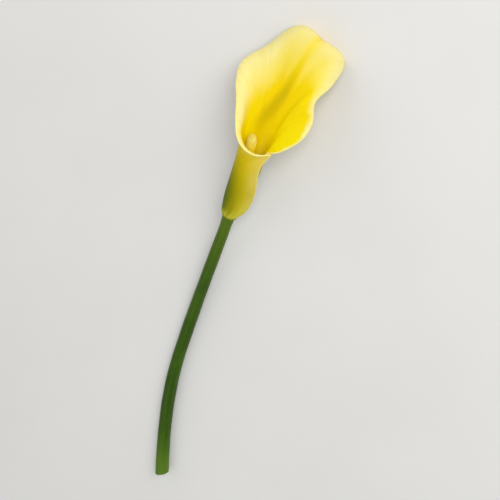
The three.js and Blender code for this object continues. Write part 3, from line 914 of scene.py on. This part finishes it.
def stand_florets(floret, heights, turns):
    """Copies the floret to each place, standing straight out of the finger."""
    copies = []
    for height, turn in zip(heights, turns):
        h, a = np.array([height]), np.array([turn])
        here = on_finger(h, a)
        above = np.minimum(h + SPADIX_SLOPE_SPAN, SPADIX_LENGTH - TOP_MARGIN)
        up_slope = on_finger(above, a) - on_finger(h - SPADIX_SLOPE_SPAN, a)
        round_slope = np.array([-math.sin(turn), math.cos(turn), 0])
        out = np.cross(round_slope, up_slope)
        out /= np.linalg.norm(out)
        out_laid = Vector(out[0] * np.array([1.0, 0, 0]) + out[1] * BACK + out[2] * TUBE_AXIS)
        size = 1 + FLORET_SPREAD * rng.standard_normal()
        spin = Matrix.Rotation(rng.uniform(0, math.tau), 4, "Z")
        copy = floret.copy()
        copy.data = floret.data.copy()
        facing = out_laid.to_track_quat("Z", "Y").to_matrix().to_4x4()
        at = Vector(lay_down(here[None])[0] * MM)
        scale = Matrix.Scale(min(max(size, FLORET_SMALLEST), FLORET_LARGEST), 4)
        copy.data.transform(Matrix.Translation(at) @ facing @ spin @ scale)
        bpy.context.scene.collection.objects.link(copy)
        copies.append(copy)
    return copies


def make_spadix():
    finger = ruled_sheet("floreted_spadix", SPADIX_COLUMNS, SPADIX_ROWS)
    flat = corners(finger)
    height = (flat[:, 1] + 1) / 2
    height = SPADIX_LENGTH * (1 - (1 - height) ** DOME_CROWDING)
    upright = finger_point(height, flat[:, 0] * math.pi, finger_radius(height))
    place_corners(finger, lay_down(upright) * MM)
    only(finger)
    bpy.ops.object.mode_set(mode="EDIT")
    bpy.ops.mesh.select_all(action="SELECT")
    bpy.ops.mesh.remove_doubles(threshold=MERGE_DISTANCE)
    bpy.ops.mesh.select_mode(type="EDGE")
    select_edges(finger, is_open)
    bpy.ops.mesh.edge_face_add()
    bpy.ops.mesh.select_all(action="SELECT")
    bpy.ops.mesh.normals_make_consistent(inside=False)
    bpy.ops.object.mode_set(mode="OBJECT")
    finger.data.shade_smooth()

    stamen = make_floret("stamen", *(size * MM for size in STAMEN_FLORET))
    pistil = make_floret("pistil", *(size * MM for size in PISTIL_FLORET))
    pistil_places = spiral(PISTIL_START, PISTIL_ZONE, PISTIL_SPACING, PISTIL_STAND)
    stamen_places = spiral(STAMEN_START, STAMEN_END, STAMEN_SPACING, STAMEN_STAND)
    pistils = stand_florets(pistil, *pistil_places)
    stamens = stand_florets(stamen, *stamen_places)
    for seed in (stamen, pistil):
        bpy.data.objects.remove(seed)
    bpy.ops.object.select_all(action="DESELECT")
    for piece in [finger, *pistils, *stamens]:
        piece.select_set(True)
    bpy.context.view_layer.objects.active = finger
    bpy.ops.object.join()

    # How far up the finger each corner is, and how far it is raised over the finger's own skin.
    upright = stand_up(corners(finger) / MM)
    up_finger = np.clip(upright[:, 2] - CORE_HEIGHT - GAP, 0, SPADIX_LENGTH)
    off = upright[:, :2] - (up_finger / SPADIX_LENGTH)[:, None] ** 2 * SPADIX_LEAN
    in_top = upright[:, 2] - CORE_HEIGHT - GAP - (SPADIX_LENGTH - SPADIX_DOME)
    beyond = np.maximum(in_top, 0)
    from_axis = np.linalg.norm(off, axis=1)
    in_dome = np.hypot(from_axis, beyond * SPADIX_RADIUS / SPADIX_DOME) - SPADIX_RADIUS
    on_side = from_axis - finger_radius(up_finger)
    raised = np.where(beyond > 0, in_dome, on_side)
    note(finger, "up_finger", up_finger)
    note(finger, "raised", np.clip(raised / FLORET_REACH, 0, 1))
    return finger


spathe = make_spathe()
spathe.data.materials.append(spathe_finish())
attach(spathe, "root")
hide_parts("spathe")

stem = make_stem()
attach(stem, "root")
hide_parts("stem")

spadix = make_spadix()
spadix.data.materials.append(spadix_finish())
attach(spadix, "root")
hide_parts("spadix")


# ---- Table, light and camera ----
def make_table():
    bpy.ops.object.select_all(action="DESELECT")
    bpy.ops.mesh.primitive_plane_add(size=TABLE_SIZE)
    table = bpy.context.object
    table.name = "pale_table"
    table.data.materials.append(table_finish())


def soft_light(name, place, size, power):
    """A square lamp that faces the origin."""
    light = bpy.data.lights.new(name, "AREA")
    light.size, light.energy = size, power
    lamp = bpy.data.objects.new(name, light)
    bpy.context.scene.collection.objects.link(lamp)
    lamp.location = place
    lamp.rotation_euler = Vector(place).to_track_quat("Z", "Y").to_euler()


def make_camera(pieces):
    front = np.array([math.sin(FACING), 0, 0]) + BACK * math.cos(FACING)
    toward = TUBE_AXIS * math.cos(TILT) + front * math.sin(TILT)
    level_up = TUBE_AXIS * math.sin(TILT) - front * math.cos(TILT)
    level_right = np.cross(level_up, toward)
    up = level_up * math.cos(ROLL) - level_right * math.sin(ROLL)
    right = level_right * math.cos(ROLL) + level_up * math.sin(ROLL)
    data = bpy.data.cameras.new("camera")
    data.lens = LENS
    data.clip_start, data.clip_end = CLIP_START, CLIP_END
    camera = bpy.data.objects.new("camera", data)
    bpy.context.scene.collection.objects.link(camera)
    bpy.context.scene.camera = camera

    # The whole flower in the middle of the picture.
    co = np.vstack([corners(piece) for piece in pieces])
    aim, distance = co.mean(0), FIRST_DISTANCE
    half = data.sensor_width / 2 / LENS
    for _ in range(FRAMING_ROUNDS):
        off = co - aim
        depth = distance - off @ toward
        x, y = off @ right / depth, off @ up / depth
        middle = np.array([x.max() + x.min(), y.max() + y.min()]) / 2
        aim = aim + (right * middle[0] + up * middle[1]) * distance
        distance *= max(x.max() - x.min(), y.max() - y.min()) / 2 / (half * FRAME_FILL)
    axes = Matrix([[right[k], up[k], toward[k]] for k in range(3)])
    camera.matrix_world = Matrix.Translation(Vector(aim + toward * distance)) @ axes.to_4x4()


make_table()
soft_light("window", (0.55, 1.0, 0.95), 0.8, 11)
soft_light("front_fill", (0.28, 0.55, 1.03), 0.5, 4)
soft_light("left_fill", (-0.9, 0.1, 0.7), 1.2, 2.5)
soft_light("low_fill", (0.0, -1.0, 0.8), 1.0, 2)
make_camera([spathe, stem, spadix])

sky = bpy.data.worlds.new("soft_white")
bpy.context.scene.world = sky
sky.use_nodes = True
sky.node_tree.nodes["Background"].inputs["Color"].default_value = (1, 1, 1, 1)
sky.node_tree.nodes["Background"].inputs["Strength"].default_value = SKY_STRENGTH
bpy.context.scene.view_settings.view_transform = "Standard"
